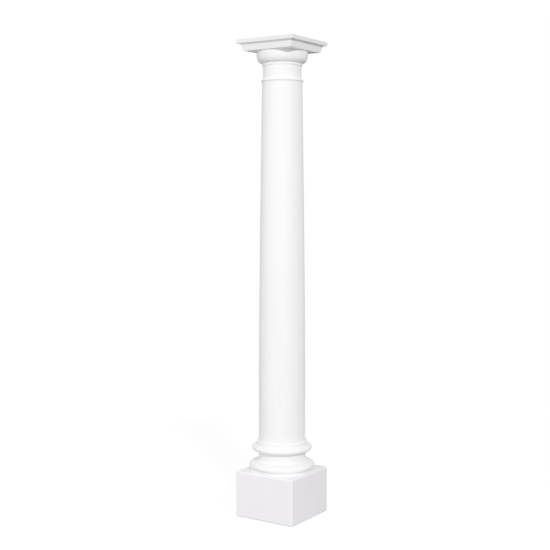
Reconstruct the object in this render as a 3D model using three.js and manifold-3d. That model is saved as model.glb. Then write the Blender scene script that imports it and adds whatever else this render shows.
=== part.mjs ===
// Decorative column: a square plinth block, a round base moulding with two tori, a tapering shaft with
// a gentle swelling, and a capital with a rounded echinus under a two-step square abacus.
// Millimetres, +Z up. The origin is the centre of the plinth's underside, its faces lie along X and Y.
import * as THREE from 'three';
import { RoundedBoxGeometry } from 'three/addons/geometries/RoundedBoxGeometry.js';
import { mergeVertices } from 'three/addons/utils/BufferGeometryUtils.js';
import Module from 'manifold-3d';

// Overall height, and the levels where one piece rests on another
const COLUMN_HEIGHT = 2440;
const PLINTH_HEIGHT = 239;
const SHAFT_FOOT = 391;
const SHAFT_HEAD = 2229;

// Plinth: a square block with softened edges
const PLINTH_SIDE = 346;
const PLINTH_EDGE = 9;
const PLINTH_EDGE_STEPS = 3;

// Base moulding, from the plinth upwards: a flat ring, a torus that is widest at its belly, a tall
// hollow that is narrowest at its throat, a second torus and a plain cincture
const FOOT_RING_RADIUS = 167;
const FOOT_RING_HEIGHT = 12;
const LOWER_TORUS_RADIUS = 169.5;
const LOWER_TORUS_FOOT_RADIUS = 157;
const LOWER_TORUS_BELLY = 14;
const LOWER_TORUS_HEIGHT = 37;
const HOLLOW_FOOT_RADIUS = 129;
const HOLLOW_HEAD_RADIUS = 135;
const HOLLOW_HEIGHT = 53;
const THROAT_RADIUS = 122;
const THROAT_RISE = 38;
const UPPER_TORUS_RADIUS = 155.5;
const UPPER_TORUS_BELLY = 16;
const UPPER_TORUS_HEIGHT = 31;
const CINCTURE_RADIUS = 130;

// Shaft: straight up to the level where it begins to narrow, with a small flare at each end
const SHAFT_FOOT_RADIUS = 120;
const SHAFT_HEAD_RADIUS = 103;
const TAPER_LEVEL = 750;
const TAPER_POWER = 1.4;
const FOOT_FLARE = { out: 4.5, height: 32 };
const HEAD_FLARE = { out: 1.8, height: 14 };

// Capital, from its seat on the shaft upwards
const SEAT_RADIUS = 104;
const SEAT_HEIGHT = 2;
const BEAD_RADIUS = 108.5;
const BEAD_HEIGHT = 14;
const NECK_RADIUS = 97.5;
const NECK_FLARE_HEIGHT = 15;
const SCRIBED_LINE_LEVEL = 2280;
const SCRIBED_LINE_DEPTH = 1;
const ANNULET_RADIUS = 102;
const ANNULET_LEVEL = 2313;
const ANNULET_HEIGHT = 12;
const ECHINUS_RADIUS = 130;
const ECHINUS_HEIGHT = 37;
const ECHINUS_BAND_OUT = 1;

// Abacus: a lower slab that spreads a little upwards, a shallow cove, and a wider top slab
const LOWER_SLAB_FOOT_SIDE = 280;
const LOWER_SLAB_HEAD_SIDE = 300;
const LOWER_SLAB_HEIGHT = 30;
const COVE_OUT = 14;
const COVE_HEIGHT = 6;
const TOP_SLAB_SIDE = 336;
const TOP_SLAB_HEIGHT = 20;

// Facets round the column and the abacus, and steps along each curve of a profile
const ROUND_FACETS = 48;
const SQUARE_FACETS = 4;
const TORUS_STEPS = 5;
const HOLLOW_STEPS = 4;
const FLARE_STEPS = 5;
const SHAFT_STEPS = 10;
const BEAD_STEPS = 3;
const ECHINUS_STEPS = 7;
const COVE_STEPS = 4;

// Points of a turned surface that lie closer than this are one point
const SAME_POINT = 0.001;

const castWhite = { roughness: 0.6, metalness: 0 };
const plinthFinish = new THREE.MeshStandardMaterial({ color: 0xeceaee, ...castWhite });
const mouldingFinish = new THREE.MeshStandardMaterial({ color: 0xf4f2f2, ...castWhite });
const shaftFinish = new THREE.MeshStandardMaterial({ color: 0xf5f3f1, ...castWhite });
const capitalFinish = new THREE.MeshStandardMaterial({ color: 0xf2f0f1, ...castWhite });

const wasm = await Module();
wasm.setup();

// A point of a round profile: radius from the axis, and height
function at(radius, height) {
  return new THREE.Vector2(radius, height);
}

// Part of an ellipse in a round profile. Angles are in degrees: 0 points outwards and 90 up.
function curve(centre, reachOut, reachUp, fromAngle, toAngle, steps) {
  const points = [];
  for (let i = 0; i <= steps; i += 1) {
    const angle = THREE.MathUtils.degToRad(THREE.MathUtils.lerp(fromAngle, toAngle, i / steps));
    points.push(at(centre.x + reachOut * Math.cos(angle), centre.y + reachUp * Math.sin(angle)));
  }
  return points;
}

// A rounded moulding from its foot to its head, which swells out to outerRadius at the belly's level
function torus(outerRadius, foot, belly, head, steps) {
  const below = curve(at(foot.x, belly), outerRadius - foot.x, belly - foot.y, -90, 0, steps);
  const above = curve(at(head.x, belly), outerRadius - head.x, head.y - belly, 0, 90, steps);
  return [...below, ...above.slice(1)];
}

// A profile turned about the Z axis, round by default, or square when it has four facets
function turned(profile, facets = ROUND_FACETS) {
  const geometry = new THREE.LatheGeometry(profile, facets);
  geometry.rotateX(Math.PI / 2);
  return geometry;
}

// A square moulding: the profile gives half sides, mitred at the corners
function squareTurned(profile) {
  const toCorner = profile.map((point) => at(point.x * Math.SQRT2, point.y));
  const geometry = turned(toCorner, SQUARE_FACETS);
  geometry.rotateZ(Math.PI / SQUARE_FACETS);
  return geometry;
}

function toSolid(geometry) {
  const bare = geometry.clone();
  bare.deleteAttribute('normal');
  bare.deleteAttribute('uv');
  const merged = mergeVertices(bare, SAME_POINT);
  const corners = merged.index.array;
  const triangles = [];
  for (let i = 0; i < corners.length; i += 3) {
    const [a, b, c] = corners.slice(i, i + 3);
    if (a !== b && b !== c && c !== a) {
      triangles.push(a, b, c);
    }
  }
  return new wasm.Manifold(new wasm.Mesh({
    numProp: 3,
    vertProperties: new Float32Array(merged.attributes.position.array),
    triVerts: new Uint32Array(triangles),
  }));
}

function toGeometry(solid) {
  const mesh = solid.getMesh();
  const geometry = new THREE.BufferGeometry();
  geometry.setAttribute('position', new THREE.BufferAttribute(mesh.vertProperties, 3));
  geometry.setIndex(new THREE.BufferAttribute(mesh.triVerts, 1));
  geometry.computeVertexNormals();
  return geometry;
}

// The plinth block, standing on the ground with all its edges rounded
function plinthGeometry() {
  const geometry = new RoundedBoxGeometry(
    PLINTH_SIDE, PLINTH_SIDE, PLINTH_HEIGHT, PLINTH_EDGE_STEPS, PLINTH_EDGE,
  );
  geometry.translate(0, 0, PLINTH_HEIGHT / 2);
  return geometry;
}

// The base moulding: foot ring, lower torus, tall hollow, upper torus and a cincture on top
function baseGeometry() {
  const torusFoot = PLINTH_HEIGHT + FOOT_RING_HEIGHT;
  const hollowFoot = torusFoot + LOWER_TORUS_HEIGHT;
  const throat = hollowFoot + THROAT_RISE;
  const hollowHead = hollowFoot + HOLLOW_HEIGHT;
  const cincture = hollowHead + UPPER_TORUS_HEIGHT;
  const lowerTorus = torus(
    LOWER_TORUS_RADIUS,
    at(LOWER_TORUS_FOOT_RADIUS, torusFoot),
    torusFoot + LOWER_TORUS_BELLY,
    at(HOLLOW_FOOT_RADIUS, hollowFoot),
    TORUS_STEPS,
  );
  const belowThroat = curve(
    at(HOLLOW_FOOT_RADIUS, throat),
    HOLLOW_FOOT_RADIUS - THROAT_RADIUS, throat - hollowFoot, 270, 180, HOLLOW_STEPS,
  );
  const aboveThroat = curve(
    at(HOLLOW_HEAD_RADIUS, throat),
    HOLLOW_HEAD_RADIUS - THROAT_RADIUS, hollowHead - throat, 180, 90, HOLLOW_STEPS,
  );
  const upperTorus = torus(
    UPPER_TORUS_RADIUS,
    at(HOLLOW_HEAD_RADIUS, hollowHead),
    hollowHead + UPPER_TORUS_BELLY,
    at(CINCTURE_RADIUS, cincture),
    TORUS_STEPS,
  );
  return turned([
    at(0, PLINTH_HEIGHT),
    at(FOOT_RING_RADIUS, PLINTH_HEIGHT),
    at(FOOT_RING_RADIUS, torusFoot),
    ...lowerTorus,
    ...belowThroat.slice(1),
    ...aboveThroat.slice(1),
    ...upperTorus.slice(1),
    at(CINCTURE_RADIUS, SHAFT_FOOT),
    at(0, SHAFT_FOOT),
  ]);
}

// The shaft's radius: even below the taper level, then narrowing faster towards the head
function shaftRadius(height) {
  const rise = Math.max(0, height - TAPER_LEVEL) / (SHAFT_HEAD - TAPER_LEVEL);
  return THREE.MathUtils.lerp(SHAFT_FOOT_RADIUS, SHAFT_HEAD_RADIUS, rise ** TAPER_POWER);
}

function shaftGeometry() {
  const plainFoot = SHAFT_FOOT + FOOT_FLARE.height;
  const plainHead = SHAFT_HEAD - HEAD_FLARE.height;
  const footCentre = at(shaftRadius(plainFoot) + FOOT_FLARE.out, plainFoot);
  const headCentre = at(shaftRadius(plainHead) + HEAD_FLARE.out, plainHead);
  const profile = [at(0, SHAFT_FOOT)];
  profile.push(...curve(footCentre, FOOT_FLARE.out, FOOT_FLARE.height, 270, 180, FLARE_STEPS));
  for (let i = 1; i < SHAFT_STEPS; i += 1) {
    const height = THREE.MathUtils.lerp(plainFoot, plainHead, i / SHAFT_STEPS);
    profile.push(at(shaftRadius(height), height));
  }
  profile.push(...curve(headCentre, HEAD_FLARE.out, HEAD_FLARE.height, 180, 90, FLARE_STEPS));
  profile.push(at(0, SHAFT_HEAD));
  return turned(profile);
}

// The round part of the capital, running up into the abacus so that the two join as one body
function capitalRoundGeometry(joinLevel) {
  const beadFoot = SHAFT_HEAD + SEAT_HEIGHT;
  const beadHead = beadFoot + BEAD_HEIGHT;
  const beadCentreRadius = BEAD_RADIUS - BEAD_HEIGHT / 2;
  const bead = torus(
    BEAD_RADIUS,
    at(beadCentreRadius, beadFoot),
    (beadFoot + beadHead) / 2,
    at(beadCentreRadius, beadHead),
    BEAD_STEPS,
  );
  const flare = curve(
    at(beadCentreRadius, beadHead + NECK_FLARE_HEIGHT),
    beadCentreRadius - NECK_RADIUS, NECK_FLARE_HEIGHT, 270, 180, FLARE_STEPS,
  );
  const echinusFoot = ANNULET_LEVEL + ANNULET_HEIGHT;
  const echinusHead = echinusFoot + ECHINUS_HEIGHT;
  const echinus = curve(
    at(ANNULET_RADIUS, echinusHead),
    ECHINUS_RADIUS - ANNULET_RADIUS, ECHINUS_HEIGHT, -90, 0, ECHINUS_STEPS,
  );
  const bandRadius = ECHINUS_RADIUS + ECHINUS_BAND_OUT;
  return turned([
    at(0, SHAFT_HEAD),
    at(SEAT_RADIUS, SHAFT_HEAD),
    at(SEAT_RADIUS, beadFoot),
    ...bead,
    ...flare.slice(1),
    at(NECK_RADIUS, SCRIBED_LINE_LEVEL - SCRIBED_LINE_DEPTH),
    at(NECK_RADIUS - SCRIBED_LINE_DEPTH, SCRIBED_LINE_LEVEL),
    at(NECK_RADIUS, SCRIBED_LINE_LEVEL + SCRIBED_LINE_DEPTH),
    at(NECK_RADIUS, ANNULET_LEVEL),
    at(ANNULET_RADIUS, ANNULET_LEVEL),
    ...echinus,
    at(bandRadius, echinusHead),
    at(bandRadius, joinLevel),
    at(0, joinLevel),
  ]);
}

function abacusGeometry(soffit) {
  const coveFoot = soffit + LOWER_SLAB_HEIGHT;
  const topSlab = coveFoot + COVE_HEIGHT;
  const footHalf = LOWER_SLAB_FOOT_SIDE / 2;
  const headHalf = LOWER_SLAB_HEAD_SIDE / 2;
  const topHalf = TOP_SLAB_SIDE / 2;
  const cove = curve(
    at(headHalf + COVE_OUT, coveFoot), COVE_OUT, COVE_HEIGHT, 180, 90, COVE_STEPS,
  );
  return squareTurned([
    at(0, soffit),
    at(footHalf, soffit),
    ...cove,
    at(topHalf, topSlab),
    at(topHalf, COLUMN_HEIGHT),
    at(0, COLUMN_HEIGHT),
  ]);
}

function capitalGeometry() {
  const soffit = COLUMN_HEIGHT - TOP_SLAB_HEIGHT - COVE_HEIGHT - LOWER_SLAB_HEIGHT;
  const joinLevel = soffit + LOWER_SLAB_HEIGHT / 2;
  const round = toSolid(capitalRoundGeometry(joinLevel));
  return toGeometry(round.add(toSolid(abacusGeometry(soffit))));
}

function piece(name, geometry, finish) {
  const mesh = new THREE.Mesh(geometry, finish);
  mesh.name = name;
  return mesh;
}

const column = new THREE.Group();
column.name = 'column';
column.add(
  piece('plinth', plinthGeometry(), plinthFinish),
  piece('base_moulding', baseGeometry(), mouldingFinish),
  piece('shaft', shaftGeometry(), shaftFinish),
  piece('capital', capitalGeometry(), capitalFinish),
);

export default column;
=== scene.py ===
import math

import bmesh
import bpy
from mathutils import Matrix, Vector, noise


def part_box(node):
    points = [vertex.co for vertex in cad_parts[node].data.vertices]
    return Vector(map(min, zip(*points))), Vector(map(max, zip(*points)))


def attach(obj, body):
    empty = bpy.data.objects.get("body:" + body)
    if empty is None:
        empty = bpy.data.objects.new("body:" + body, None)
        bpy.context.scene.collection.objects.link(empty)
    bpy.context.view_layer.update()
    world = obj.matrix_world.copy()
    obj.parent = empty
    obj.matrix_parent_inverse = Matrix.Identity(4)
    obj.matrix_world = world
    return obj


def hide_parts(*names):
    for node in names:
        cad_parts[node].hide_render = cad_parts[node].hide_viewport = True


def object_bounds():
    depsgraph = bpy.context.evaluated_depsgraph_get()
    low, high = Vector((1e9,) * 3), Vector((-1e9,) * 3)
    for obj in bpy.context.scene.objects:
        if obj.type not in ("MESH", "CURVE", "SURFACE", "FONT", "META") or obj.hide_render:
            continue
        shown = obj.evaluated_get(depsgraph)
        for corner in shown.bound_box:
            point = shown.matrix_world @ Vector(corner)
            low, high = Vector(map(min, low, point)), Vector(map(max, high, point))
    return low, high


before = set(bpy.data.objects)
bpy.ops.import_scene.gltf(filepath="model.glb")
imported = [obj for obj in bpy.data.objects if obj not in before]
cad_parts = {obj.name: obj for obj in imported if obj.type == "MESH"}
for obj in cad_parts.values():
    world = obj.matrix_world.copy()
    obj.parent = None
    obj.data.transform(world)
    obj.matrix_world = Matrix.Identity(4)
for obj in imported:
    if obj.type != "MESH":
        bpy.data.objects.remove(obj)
cad_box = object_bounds()

# The plinth: the tall square block that carries the whole column, cast in a box mould from white stone
# paste. Its arrises are rubbed round by hand after casting, so they waver a little, and it stands on its
# flat underside with nothing fixing it down.
PLINTH_ARRIS = 0.009
PLINTH_ARRIS_STEPS = 5
PLINTH_FACE_CUTS = 23
PLINTH_WAVER = 0.0007
PLINTH_WAVE_LENGTH = 0.07
PLINTH_TONE = (0.89, 0.85, 0.91)
SHARP = math.radians(35)
CAST_IOR = 1.46
CAST_ROUGHNESS = (0.52, 0.72)
CLOUD_SCALE = 9
CLOUD_DETAIL = 5
CLOUD_BREAKUP = 0.55
CLOUD_SPREAD = (0.32, 0.68)
CLOUD_SHADE = (0.955, 0.955, 0.965)
GRAIN_SCALE = 420
GRAIN_DETAIL = 3
GRAIN_STRENGTH = 0.12
GRAIN_DEPTH = 0.0008
PINHOLE_SCALE = 95
PINHOLE_EDGE = (0.05, 0.13)
PINHOLE_SHADE = (0.8, 0.79, 0.78)
PINHOLE_STRENGTH = 0.35
PINHOLE_DEPTH = 0.0006


def block(low, high):
    """A box between two corners."""
    mesh = bmesh.new()
    bmesh.ops.create_cube(
        mesh, size=1,
        matrix=Matrix.Translation((low + high) / 2) @ Matrix.Diagonal((high - low).to_4d()),
    )
    return mesh


def arrises(mesh):
    """The outward corners of a mesh that are sharp to the hand."""
    return [edge for edge in mesh.edges if edge.is_convex and edge.calc_face_angle(0) > SHARP]


def round_over(mesh, edges, radius, steps):
    """Rubs edges round to a radius."""
    bmesh.ops.bevel(
        mesh, geom=edges, offset=radius, offset_type="OFFSET", affect="EDGES",
        segments=steps, profile=0.5, material=-1, clamp_overlap=True,
    )


def rub_down(mesh, depth, wave_length, floor_level):
    """Takes up to that depth off the sides above a level in soft waves, as hand rubbing does.
    The flat ends, which bear on other pieces, stay as they were cast."""
    mesh.normal_update()
    for vertex in mesh.verts:
        if vertex.co.z > floor_level:
            share = 0.5 + 0.5 * noise.noise(vertex.co / wave_length)
            vertex.co.xy -= vertex.normal.xy * depth * share


def finish_piece(name, mesh, finish):
    """Makes a mesh into an object with its finish, smooth except at sharp corners, and with the wide flat
    faces shaded flat right up to their rounded arrises."""
    data = bpy.data.meshes.new(name)
    mesh.to_mesh(data)
    mesh.free()
    data.shade_smooth()
    data.set_sharp_from_angle(angle=SHARP)
    data.materials.append(finish)
    piece = bpy.data.objects.new(name, data)
    bpy.context.scene.collection.objects.link(piece)
    flat_faces = piece.modifiers.new("flat_faces", "WEIGHTED_NORMAL")
    flat_faces.keep_sharp = True
    return piece


def shaded(tone, shares):
    """A tone made darker by a share for each of red, green and blue."""
    return (*(part * share for part, share in zip(tone, shares)), 1)


def cast_white(name, tone, drag=(1, 1, 1)):
    """The matt white cast surface: cloudy tone, fine pinholes, and a grain that breaks the gloss.
    drag packs the clouds closer along an axis, or draws them out where it is under 1."""
    finish = bpy.data.materials.new(name)
    finish.use_nodes = True
    nodes = finish.node_tree.nodes
    links = finish.node_tree.links
    shader = nodes["Principled BSDF"]
    shader.inputs["IOR"].default_value = CAST_IOR
    place = nodes.new("ShaderNodeTexCoord").outputs["Object"]

    dragged = nodes.new("ShaderNodeMapping")
    dragged.inputs["Scale"].default_value = drag
    links.new(place, dragged.inputs["Vector"])
    clouds = nodes.new("ShaderNodeTexNoise")
    clouds.inputs["Scale"].default_value = CLOUD_SCALE
    clouds.inputs["Detail"].default_value = CLOUD_DETAIL
    clouds.inputs["Roughness"].default_value = CLOUD_BREAKUP
    links.new(dragged.outputs["Vector"], clouds.inputs["Vector"])
    tones = nodes.new("ShaderNodeValToRGB")
    cloudy, clear = tones.color_ramp.elements
    cloudy.position, clear.position = CLOUD_SPREAD
    cloudy.color = shaded(tone, CLOUD_SHADE)
    clear.color = (*tone, 1)
    links.new(clouds.outputs["Fac"], tones.inputs["Fac"])

    pores = nodes.new("ShaderNodeTexVoronoi")
    pores.inputs["Scale"].default_value = PINHOLE_SCALE
    links.new(place, pores.inputs["Vector"])
    pinholes = nodes.new("ShaderNodeMapRange")
    pinholes.inputs["From Min"].default_value = PINHOLE_EDGE[0]
    pinholes.inputs["From Max"].default_value = PINHOLE_EDGE[1]
    links.new(pores.outputs["Distance"], pinholes.inputs["Value"])
    pitted = nodes.new("ShaderNodeMix")
    pitted.data_type = "RGBA"
    pitted.inputs["A"].default_value = shaded(tone, PINHOLE_SHADE)
    links.new(pinholes.outputs["Result"], pitted.inputs["Factor"])
    links.new(tones.outputs["Color"], pitted.inputs["B"])
    links.new(pitted.outputs["Result"], shader.inputs["Base Color"])

    polish = nodes.new("ShaderNodeMapRange")
    polish.inputs["To Min"].default_value = CAST_ROUGHNESS[0]
    polish.inputs["To Max"].default_value = CAST_ROUGHNESS[1]
    links.new(clouds.outputs["Fac"], polish.inputs["Value"])
    links.new(polish.outputs["Result"], shader.inputs["Roughness"])

    grain = nodes.new("ShaderNodeTexNoise")
    grain.inputs["Scale"].default_value = GRAIN_SCALE
    grain.inputs["Detail"].default_value = GRAIN_DETAIL
    links.new(place, grain.inputs["Vector"])
    tooth = nodes.new("ShaderNodeBump")
    tooth.inputs["Strength"].default_value = GRAIN_STRENGTH
    tooth.inputs["Distance"].default_value = GRAIN_DEPTH
    links.new(grain.outputs["Fac"], tooth.inputs["Height"])
    holes = nodes.new("ShaderNodeBump")
    holes.inputs["Strength"].default_value = PINHOLE_STRENGTH
    holes.inputs["Distance"].default_value = PINHOLE_DEPTH
    links.new(pinholes.outputs["Result"], holes.inputs["Height"])
    links.new(tooth.outputs["Normal"], holes.inputs["Normal"])
    links.new(holes.outputs["Normal"], shader.inputs["Normal"])
    return finish


plinth_low, plinth_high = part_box("plinth")
plinth_mesh = block(plinth_low, plinth_high)
bmesh.ops.subdivide_edges(
    plinth_mesh, edges=plinth_mesh.edges[:], cuts=PLINTH_FACE_CUTS, use_grid_fill=True
)
round_over(plinth_mesh, arrises(plinth_mesh), PLINTH_ARRIS, PLINTH_ARRIS_STEPS)
rub_down(plinth_mesh, PLINTH_WAVER, PLINTH_WAVE_LENGTH, plinth_low.z + PLINTH_ARRIS)
plinth = finish_piece("cast_plinth", plinth_mesh, cast_white("plinth_cast_white", PLINTH_TONE))
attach(plinth, "root")
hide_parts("plinth")

# The base moulding: one turned ring of white cast stone with a flat foot, a large torus, a tall hollow,
# a smaller torus and a cincture. It was run round with a template and is bedded on the plinth's top.
FOOT_RING_RADIUS = 0.167
FOOT_RING_HEIGHT = 0.012
LOWER_TORUS_FOOT_RADIUS = 0.157
LOWER_TORUS_BELLY = 0.014
LOWER_TORUS_HEIGHT = 0.037
HOLLOW_FOOT_RADIUS = 0.129
HOLLOW_HEAD_RADIUS = 0.135
HOLLOW_HEIGHT = 0.053
THROAT_RADIUS = 0.122
THROAT_RISE = 0.038
UPPER_TORUS_RADIUS = 0.1555
UPPER_TORUS_BELLY = 0.016
UPPER_TORUS_HEIGHT = 0.031
CINCTURE_RADIUS = 0.130
MOULDING_ARRIS = 0.0012
MOULDING_ARRIS_STEPS = 2
TORUS_STEPS = 14
SMALL_ARC_STEPS = 12
ROUND_STEPS = 144
SEAM_GAP = 1e-6
MOULDING_TONE = (0.915, 0.905, 0.895)
MOULDING_DRAG = (1, 1, 4)


def start_template(radius, height):
    """Starts a template of a moulding at a radius and height: its mesh, and the tip it is drawn from."""
    template = bmesh.new()
    return template, template.verts.new((radius, 0, height))


def line_to(template, tip, radius, height):
    """Draws a straight run of the template to a radius and height."""
    new_tip = bmesh.ops.extrude_vert_indiv(template, verts=[tip])["verts"][0]
    new_tip.co = (radius, 0, height)
    return new_tip


def arc_about(template, tip, radius, height, degrees, steps, widen=1, heighten=1):
    """Draws a round run of the template about a centre, upwards on its outer side for positive degrees.
    widen and heighten make it an ellipse, that many times as wide or as high as a circle would be."""
    drawn = set(template.verts)
    swept = bmesh.ops.spin(
        template, geom=[tip], cent=(radius, 0, height), axis=(0, -1, 0),
        angle=math.radians(degrees), steps=steps,
    )
    bmesh.ops.scale(
        template, verts=[vertex for vertex in template.verts if vertex not in drawn],
        vec=(widen, 1, heighten), space=Matrix.Translation((-radius, 0, -height)),
    )
    return swept["geom_last"][0]


def run_round(template):
    """Runs the template once round the column's axis and closes the seam and the poles."""
    bmesh.ops.spin(
        template, geom=template.verts[:] + template.edges[:], cent=(0, 0, 0), axis=(0, 0, 1),
        angle=2 * math.pi, steps=ROUND_STEPS, use_merge=True,
    )
    bmesh.ops.remove_doubles(template, verts=template.verts[:], dist=SEAM_GAP)
    bmesh.ops.recalc_face_normals(template, faces=template.faces[:])


base_low, base_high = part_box("base_moulding")
lower_torus_radius = base_high.x
torus_foot = base_low.z + FOOT_RING_HEIGHT
lower_belly = torus_foot + LOWER_TORUS_BELLY
hollow_foot = torus_foot + LOWER_TORUS_HEIGHT
throat = hollow_foot + THROAT_RISE
hollow_head = hollow_foot + HOLLOW_HEIGHT
upper_belly = hollow_head + UPPER_TORUS_BELLY
cincture_foot = hollow_head + UPPER_TORUS_HEIGHT

base_mesh, tip = start_template(0, base_low.z)
tip = line_to(base_mesh, tip, FOOT_RING_RADIUS, base_low.z)
tip = line_to(base_mesh, tip, FOOT_RING_RADIUS, torus_foot)
tip = line_to(base_mesh, tip, LOWER_TORUS_FOOT_RADIUS, torus_foot)
tip = arc_about(
    base_mesh, tip, LOWER_TORUS_FOOT_RADIUS, lower_belly, 90, TORUS_STEPS,
    widen=(lower_torus_radius - LOWER_TORUS_FOOT_RADIUS) / LOWER_TORUS_BELLY,
)
tip = arc_about(
    base_mesh, tip, HOLLOW_FOOT_RADIUS, lower_belly, 90, TORUS_STEPS,
    heighten=(hollow_foot - lower_belly) / (lower_torus_radius - HOLLOW_FOOT_RADIUS),
)
tip = arc_about(
    base_mesh, tip, HOLLOW_FOOT_RADIUS, throat, -90, SMALL_ARC_STEPS,
    widen=(HOLLOW_FOOT_RADIUS - THROAT_RADIUS) / THROAT_RISE,
)
tip = arc_about(
    base_mesh, tip, HOLLOW_HEAD_RADIUS, throat, -90, SMALL_ARC_STEPS,
    heighten=(hollow_head - throat) / (HOLLOW_HEAD_RADIUS - THROAT_RADIUS),
)
tip = arc_about(
    base_mesh, tip, HOLLOW_HEAD_RADIUS, upper_belly, 90, TORUS_STEPS,
    widen=(UPPER_TORUS_RADIUS - HOLLOW_HEAD_RADIUS) / UPPER_TORUS_BELLY,
)
tip = arc_about(
    base_mesh, tip, CINCTURE_RADIUS, upper_belly, 90, TORUS_STEPS,
    heighten=(cincture_foot - upper_belly) / (UPPER_TORUS_RADIUS - CINCTURE_RADIUS),
)
tip = line_to(base_mesh, tip, CINCTURE_RADIUS, base_high.z)
line_to(base_mesh, tip, 0, base_high.z)
run_round(base_mesh)
round_over(base_mesh, arrises(base_mesh), MOULDING_ARRIS, MOULDING_ARRIS_STEPS)
base = finish_piece(
    "turned_base", base_mesh, cast_white("base_cast_white", MOULDING_TONE, drag=MOULDING_DRAG)
)
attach(base, "root")
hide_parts("base_moulding")

# The shaft: one plain round casting without flutes, even for its lower fifth and then drawn in with a
# gentle swelling. It was rubbed along its length, flares a little at each end, and stands on the base.
SHAFT_FOOT_RADIUS = 0.120
SHAFT_HEAD_RADIUS = 0.103
TAPER_LEVEL = 0.750
TAPER_POWER = 1.4
FOOT_FLARE_OUT = 0.0045
FOOT_FLARE_HEIGHT = 0.032
HEAD_FLARE_OUT = 0.0018
HEAD_FLARE_HEIGHT = 0.014
SHAFT_STEPS = 60
SHAFT_ARRIS = 0.0006
SHAFT_WAVER = 0.0004
SHAFT_WAVE_LENGTH = 0.16
SHAFT_TONE = (0.92, 0.912, 0.9)
SHAFT_DRAG = (1.6, 1.6, 0.25)

shaft_low, shaft_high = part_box("shaft")


def shaft_radius(height):
    """The shaft's radius: even below the taper level, then narrowing faster towards the head."""
    rise = max(0, height - TAPER_LEVEL) / (shaft_high.z - TAPER_LEVEL)
    return SHAFT_FOOT_RADIUS + (SHAFT_HEAD_RADIUS - SHAFT_FOOT_RADIUS) * rise ** TAPER_POWER


plain_foot = shaft_low.z + FOOT_FLARE_HEIGHT
plain_head = shaft_high.z - HEAD_FLARE_HEIGHT
foot_edge = shaft_radius(plain_foot) + FOOT_FLARE_OUT
head_edge = shaft_radius(plain_head) + HEAD_FLARE_OUT

shaft_mesh, tip = start_template(0, shaft_low.z)
tip = line_to(shaft_mesh, tip, foot_edge, shaft_low.z)
tip = arc_about(
    shaft_mesh, tip, foot_edge, plain_foot, -90, SMALL_ARC_STEPS,
    widen=FOOT_FLARE_OUT / FOOT_FLARE_HEIGHT,
)
for step in range(1, SHAFT_STEPS + 1):
    height = plain_foot + (plain_head - plain_foot) * step / SHAFT_STEPS
    tip = line_to(shaft_mesh, tip, shaft_radius(height), height)
tip = arc_about(
    shaft_mesh, tip, head_edge, plain_head, -90, SMALL_ARC_STEPS,
    heighten=HEAD_FLARE_HEIGHT / HEAD_FLARE_OUT,
)
line_to(shaft_mesh, tip, 0, shaft_high.z)
run_round(shaft_mesh)
round_over(shaft_mesh, arrises(shaft_mesh), SHAFT_ARRIS, MOULDING_ARRIS_STEPS)
rub_down(shaft_mesh, SHAFT_WAVER, SHAFT_WAVE_LENGTH, shaft_low.z)
shaft = finish_piece(
    "rubbed_shaft", shaft_mesh, cast_white("shaft_cast_white", SHAFT_TONE, drag=SHAFT_DRAG)
)
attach(shaft, "root")
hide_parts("shaft")

# The capital: bead, neck, rounded echinus and two-step square abacus, cast as one in a piece mould from
# the same white stone paste. Its arrises are softened, its top slab is painted greyer as painted shade,
# and it sits on the shaft's head by its own weight.
SEAT_RADIUS = 0.104
SEAT_HEIGHT = 0.002
BEAD_RADIUS = 0.1085
BEAD_HEIGHT = 0.014
NECK_RADIUS = 0.0975
NECK_FLARE_HEIGHT = 0.015
SCRIBED_LINE_LEVEL = 2.280
SCRIBED_LINE_DEPTH = 0.001
ANNULET_RADIUS = 0.102
ANNULET_LEVEL = 2.313
ANNULET_HEIGHT = 0.012
ECHINUS_RADIUS = 0.130
ECHINUS_HEIGHT = 0.037
ECHINUS_BAND_OUT = 0.001
ECHINUS_STEPS = 18
ABACUS_SIDES = 4
SLAB_FOOT_HALF = 0.140
SLAB_HEAD_HALF = 0.150
LOWER_SLAB_HEIGHT = 0.030
COVE_OUT = 0.014
COVE_HEIGHT = 0.006
COVE_STEPS = 8
TOP_SLAB_HEIGHT = 0.020
ABACUS_ARRIS = 0.0022
ABACUS_ARRIS_STEPS = 3
CAPITAL_TONE = (0.905, 0.897, 0.893)
# The painted shade on the top slab: its grey, how much of it shows, and the height over which it fades in.
PAINTED_SHADE_TONE = (0.775, 0.775, 0.79)
PAINTED_SHADE_COVER = 0.8
PAINTED_SHADE_FADE = 0.004

capital_low, capital_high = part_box("capital")
bead_foot = capital_low.z + SEAT_HEIGHT
bead_half = BEAD_HEIGHT / 2
bead_centre_radius = BEAD_RADIUS - bead_half
bead_head = bead_foot + BEAD_HEIGHT
echinus_foot = ANNULET_LEVEL + ANNULET_HEIGHT
echinus_head = echinus_foot + ECHINUS_HEIGHT
band_radius = ECHINUS_RADIUS + ECHINUS_BAND_OUT
top_slab_foot = capital_high.z - TOP_SLAB_HEIGHT
cove_foot = top_slab_foot - COVE_HEIGHT
soffit = cove_foot - LOWER_SLAB_HEIGHT

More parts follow.
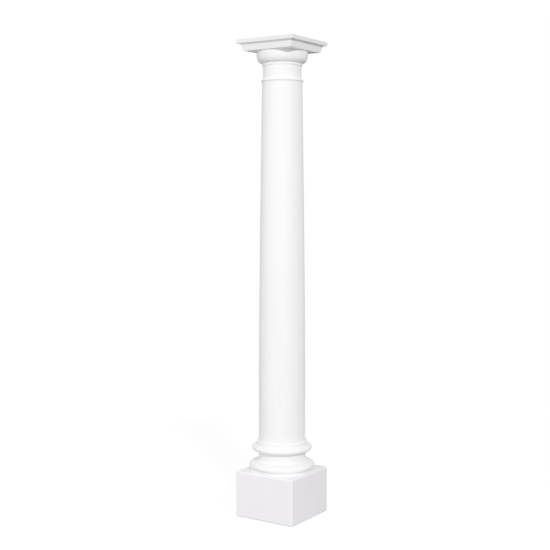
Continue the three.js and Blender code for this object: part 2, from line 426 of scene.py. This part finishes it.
capital_mesh, tip = start_template(0, capital_low.z)
tip = line_to(capital_mesh, tip, SEAT_RADIUS, capital_low.z)
tip = line_to(capital_mesh, tip, SEAT_RADIUS, bead_foot)
tip = line_to(capital_mesh, tip, bead_centre_radius, bead_foot)
tip = arc_about(capital_mesh, tip, bead_centre_radius, bead_foot + bead_half, 180, SMALL_ARC_STEPS)
tip = arc_about(
    capital_mesh, tip, bead_centre_radius, bead_head + NECK_FLARE_HEIGHT, -90, SMALL_ARC_STEPS,
    widen=(bead_centre_radius - NECK_RADIUS) / NECK_FLARE_HEIGHT,
)
tip = line_to(capital_mesh, tip, NECK_RADIUS, SCRIBED_LINE_LEVEL - SCRIBED_LINE_DEPTH)
tip = line_to(capital_mesh, tip, NECK_RADIUS - SCRIBED_LINE_DEPTH, SCRIBED_LINE_LEVEL)
tip = line_to(capital_mesh, tip, NECK_RADIUS, SCRIBED_LINE_LEVEL + SCRIBED_LINE_DEPTH)
tip = line_to(capital_mesh, tip, NECK_RADIUS, ANNULET_LEVEL)
tip = line_to(capital_mesh, tip, ANNULET_RADIUS, ANNULET_LEVEL)
tip = line_to(capital_mesh, tip, ANNULET_RADIUS, echinus_foot)
tip = arc_about(
    capital_mesh, tip, ANNULET_RADIUS, echinus_head, 90, ECHINUS_STEPS,
    widen=(ECHINUS_RADIUS - ANNULET_RADIUS) / ECHINUS_HEIGHT,
)
tip = line_to(capital_mesh, tip, band_radius, echinus_head)
tip = line_to(capital_mesh, tip, band_radius, soffit)
run_round(capital_mesh)

band_head = [edge for edge in capital_mesh.edges if edge.is_boundary]
to_corners = Matrix.Rotation(math.pi / ABACUS_SIDES, 4, "Z")
bmesh.ops.create_circle(
    capital_mesh, segments=ABACUS_SIDES, radius=SLAB_FOOT_HALF * math.sqrt(2),
    matrix=Matrix.Translation((0, 0, soffit)) @ to_corners,
)
square = [edge for edge in capital_mesh.edges if edge.is_wire]
bmesh.ops.subdivide_edges(capital_mesh, edges=square, cuts=ROUND_STEPS // ABACUS_SIDES - 1)
square = [edge for edge in capital_mesh.edges if edge.is_wire]
bmesh.ops.bridge_loops(capital_mesh, edges=band_head + square)


def raise_square(mesh, rim, half_side, new_half_side, rise):
    """Draws the square rim of the abacus up and out to a new half side, mitred at the corners."""
    raised = bmesh.ops.extrude_edge_only(mesh, edges=rim)["geom"]
    new_points = [part for part in raised if isinstance(part, bmesh.types.BMVert)]
    spread = new_half_side / half_side
    bmesh.ops.scale(mesh, verts=new_points, vec=(spread, spread, 1))
    bmesh.ops.translate(mesh, verts=new_points, vec=(0, 0, rise))
    return [part for part in raised if isinstance(part, bmesh.types.BMEdge) and part.is_boundary]


rim = raise_square(capital_mesh, square, SLAB_FOOT_HALF, SLAB_HEAD_HALF, LOWER_SLAB_HEIGHT)
half_side = SLAB_HEAD_HALF
rise = 0
for step in range(1, COVE_STEPS + 1):
    turn = math.radians(90 * step / COVE_STEPS)
    new_half_side = SLAB_HEAD_HALF + COVE_OUT * (1 - math.cos(turn))
    new_rise = COVE_HEIGHT * math.sin(turn)
    rim = raise_square(capital_mesh, rim, half_side, new_half_side, new_rise - rise)
    half_side = new_half_side
    rise = new_rise
rim = raise_square(capital_mesh, rim, half_side, capital_high.x, 0)
rim = raise_square(capital_mesh, rim, capital_high.x, capital_high.x, TOP_SLAB_HEIGHT)
bmesh.ops.contextual_create(capital_mesh, geom=rim)
bmesh.ops.recalc_face_normals(capital_mesh, faces=capital_mesh.faces[:])
abacus_arrises = [
    edge for edge in arrises(capital_mesh) if edge.verts[0].co.z > soffit - MOULDING_ARRIS
]
round_over(capital_mesh, abacus_arrises, ABACUS_ARRIS, ABACUS_ARRIS_STEPS)


def paint_shade_above(finish, level):
    """Paints shade into a finish from a level upwards, greying its colour a little."""
    nodes = finish.node_tree.nodes
    links = finish.node_tree.links
    colour = nodes["Principled BSDF"].inputs["Base Color"]
    unshaded = colour.links[0].from_socket
    place = nodes.new("ShaderNodeTexCoord")
    height = nodes.new("ShaderNodeSeparateXYZ")
    links.new(place.outputs["Object"], height.inputs["Vector"])
    shade_share = nodes.new("ShaderNodeMapRange")
    shade_share.inputs["From Min"].default_value = level
    shade_share.inputs["From Max"].default_value = level + PAINTED_SHADE_FADE
    shade_share.inputs["To Max"].default_value = PAINTED_SHADE_COVER
    links.new(height.outputs["Z"], shade_share.inputs["Value"])
    shade_mix = nodes.new("ShaderNodeMix")
    shade_mix.data_type = "RGBA"
    shade_mix.blend_type = "MULTIPLY"
    shade_mix.inputs["B"].default_value = (*PAINTED_SHADE_TONE, 1)
    links.new(shade_share.outputs["Result"], shade_mix.inputs["Factor"])
    links.new(unshaded, shade_mix.inputs["A"])
    links.new(shade_mix.outputs["Result"], colour)


capital_white = cast_white("capital_cast_white", CAPITAL_TONE)
# Painted shade: the top slab, its top face included, is greyed from the slab's foot upwards.
paint_shade_above(capital_white, top_slab_foot)
capital = finish_piece("cast_capital", capital_mesh, capital_white)
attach(capital, "root")
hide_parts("capital")

# The floor: a plain pale studio sheet, laid flat under the column and lit with it.
# It glows a little where the camera sees it, so that it shows as white as the room.
FLOOR_RADIUS = 2.4
FLOOR_STEPS = 96
FLOOR_TONE = (0.2, 0.2, 0.2)
FLOOR_ROUGHNESS = 0.9
FLOOR_LIFT = 0.85
WHITE = (1, 1, 1, 1)

floor_mesh = bmesh.new()
bmesh.ops.create_circle(floor_mesh, cap_ends=True, segments=FLOOR_STEPS, radius=FLOOR_RADIUS)
floor_paint = bpy.data.materials.new("floor_paint")
floor_paint.use_nodes = True
floor_nodes = floor_paint.node_tree.nodes
floor_links = floor_paint.node_tree.links
floor_shader = floor_nodes["Principled BSDF"]
floor_shader.inputs["Base Color"].default_value = (*FLOOR_TONE, 1)
floor_shader.inputs["Roughness"].default_value = FLOOR_ROUGHNESS
floor_shader.inputs["Emission Color"].default_value = WHITE
floor_seen = floor_nodes.new("ShaderNodeLightPath")
floor_lift = floor_nodes.new("ShaderNodeMath")
floor_lift.operation = "MULTIPLY"
floor_lift.inputs[1].default_value = FLOOR_LIFT
floor_links.new(floor_seen.outputs["Is Camera Ray"], floor_lift.inputs[0])
floor_links.new(floor_lift.outputs["Value"], floor_shader.inputs["Emission Strength"])
floor = finish_piece("studio_floor", floor_mesh, floor_paint)

# The light: a white studio that glows from above, a lamp above and to the right of the camera that draws
# the short shadows under the abacus, and a wide dim lamp to its left that lifts the faces turned that way.
ROOM_BELOW = 0.04
ROOM_ABOVE = 0.45
ROOM_BLEND = 0.25
ROOM_WHITE = 1.0
DISPLAY_GAMMA = 2.0
KEY_POWER = 450
KEY_SIZE = 0.6
KEY_AZIMUTH = 49
KEY_DISTANCE = 8.0
KEY_HEIGHT = 4.8
FILL_POWER = 84
FILL_SIZE = 3.0
FILL_AZIMUTH = -15
FILL_DISTANCE = 5.0
FILL_HEIGHT = 2.4


def about_axis(azimuth, distance, height):
    """A place round the column: azimuth 0 is in front, and it grows towards +X."""
    turn = math.radians(azimuth)
    return Vector((distance * math.sin(turn), -distance * math.cos(turn), height))


def softbox(name, power, size, place):
    """A square lamp at a place, turned to the column's middle."""
    lamp = bpy.data.lights.new(name, "AREA")
    lamp.energy = power
    lamp.size = size
    box = bpy.data.objects.new(name, lamp)
    box.location = place
    column_middle = (cad_box[0] + cad_box[1]) / 2
    box.rotation_euler = (column_middle - place).to_track_quat("-Z", "Y").to_euler()
    bpy.context.scene.collection.objects.link(box)


softbox("key_softbox", KEY_POWER, KEY_SIZE, about_axis(KEY_AZIMUTH, KEY_DISTANCE, KEY_HEIGHT))
softbox("fill_softbox", FILL_POWER, FILL_SIZE, about_axis(FILL_AZIMUTH, FILL_DISTANCE, FILL_HEIGHT))

room = bpy.data.worlds.new("white_room")
room.use_nodes = True
room_nodes = room.node_tree.nodes
room_links = room.node_tree.links
room_glow = room_nodes["Background"]
room_glow.inputs["Color"].default_value = WHITE
looking = room_nodes.new("ShaderNodeTexCoord")
upward = room_nodes.new("ShaderNodeSeparateXYZ")
room_links.new(looking.outputs["Object"], upward.inputs["Vector"])
glow = room_nodes.new("ShaderNodeMapRange")
glow.inputs["From Min"].default_value = -ROOM_BLEND
glow.inputs["From Max"].default_value = ROOM_BLEND
glow.inputs["To Min"].default_value = ROOM_BELOW
glow.inputs["To Max"].default_value = ROOM_ABOVE
room_links.new(upward.outputs["Z"], glow.inputs["Value"])
room_links.new(glow.outputs["Result"], room_glow.inputs["Strength"])
backdrop = room_nodes.new("ShaderNodeBackground")
backdrop.inputs["Color"].default_value = WHITE
backdrop.inputs["Strength"].default_value = ROOM_WHITE
seen = room_nodes.new("ShaderNodeLightPath")
shown = room_nodes.new("ShaderNodeMixShader")
room_links.new(seen.outputs["Is Camera Ray"], shown.inputs["Fac"])
room_links.new(room_glow.outputs["Background"], shown.inputs[1])
room_links.new(backdrop.outputs["Background"], shown.inputs[2])
room_links.new(shown.outputs["Shader"], room_nodes["World Output"].inputs["Surface"])
bpy.context.scene.world = room
bpy.context.scene.view_settings.view_transform = "Standard"
bpy.context.scene.view_settings.gamma = DISPLAY_GAMMA

# The camera: a long lens at standing eye level, turned to the column's near corner, and panned a little
# so that the column stands right of the middle.
CAMERA_AZIMUTH = 33.04
CAMERA_DISTANCE = 5.374
CAMERA_HEIGHT = 1.628
CAMERA_PITCH = 4.017
CAMERA_PAN = 0.39
CAMERA_LENS = 68.5

lens = bpy.data.cameras.new("eye_level_camera")
lens.lens = CAMERA_LENS
camera = bpy.data.objects.new("eye_level_camera", lens)
camera.location = about_axis(CAMERA_AZIMUTH, CAMERA_DISTANCE, CAMERA_HEIGHT)
camera.rotation_euler = (
    math.radians(90 - CAMERA_PITCH), 0, math.radians(CAMERA_AZIMUTH + CAMERA_PAN)
)
bpy.context.scene.collection.objects.link(camera)
bpy.context.scene.camera = camera
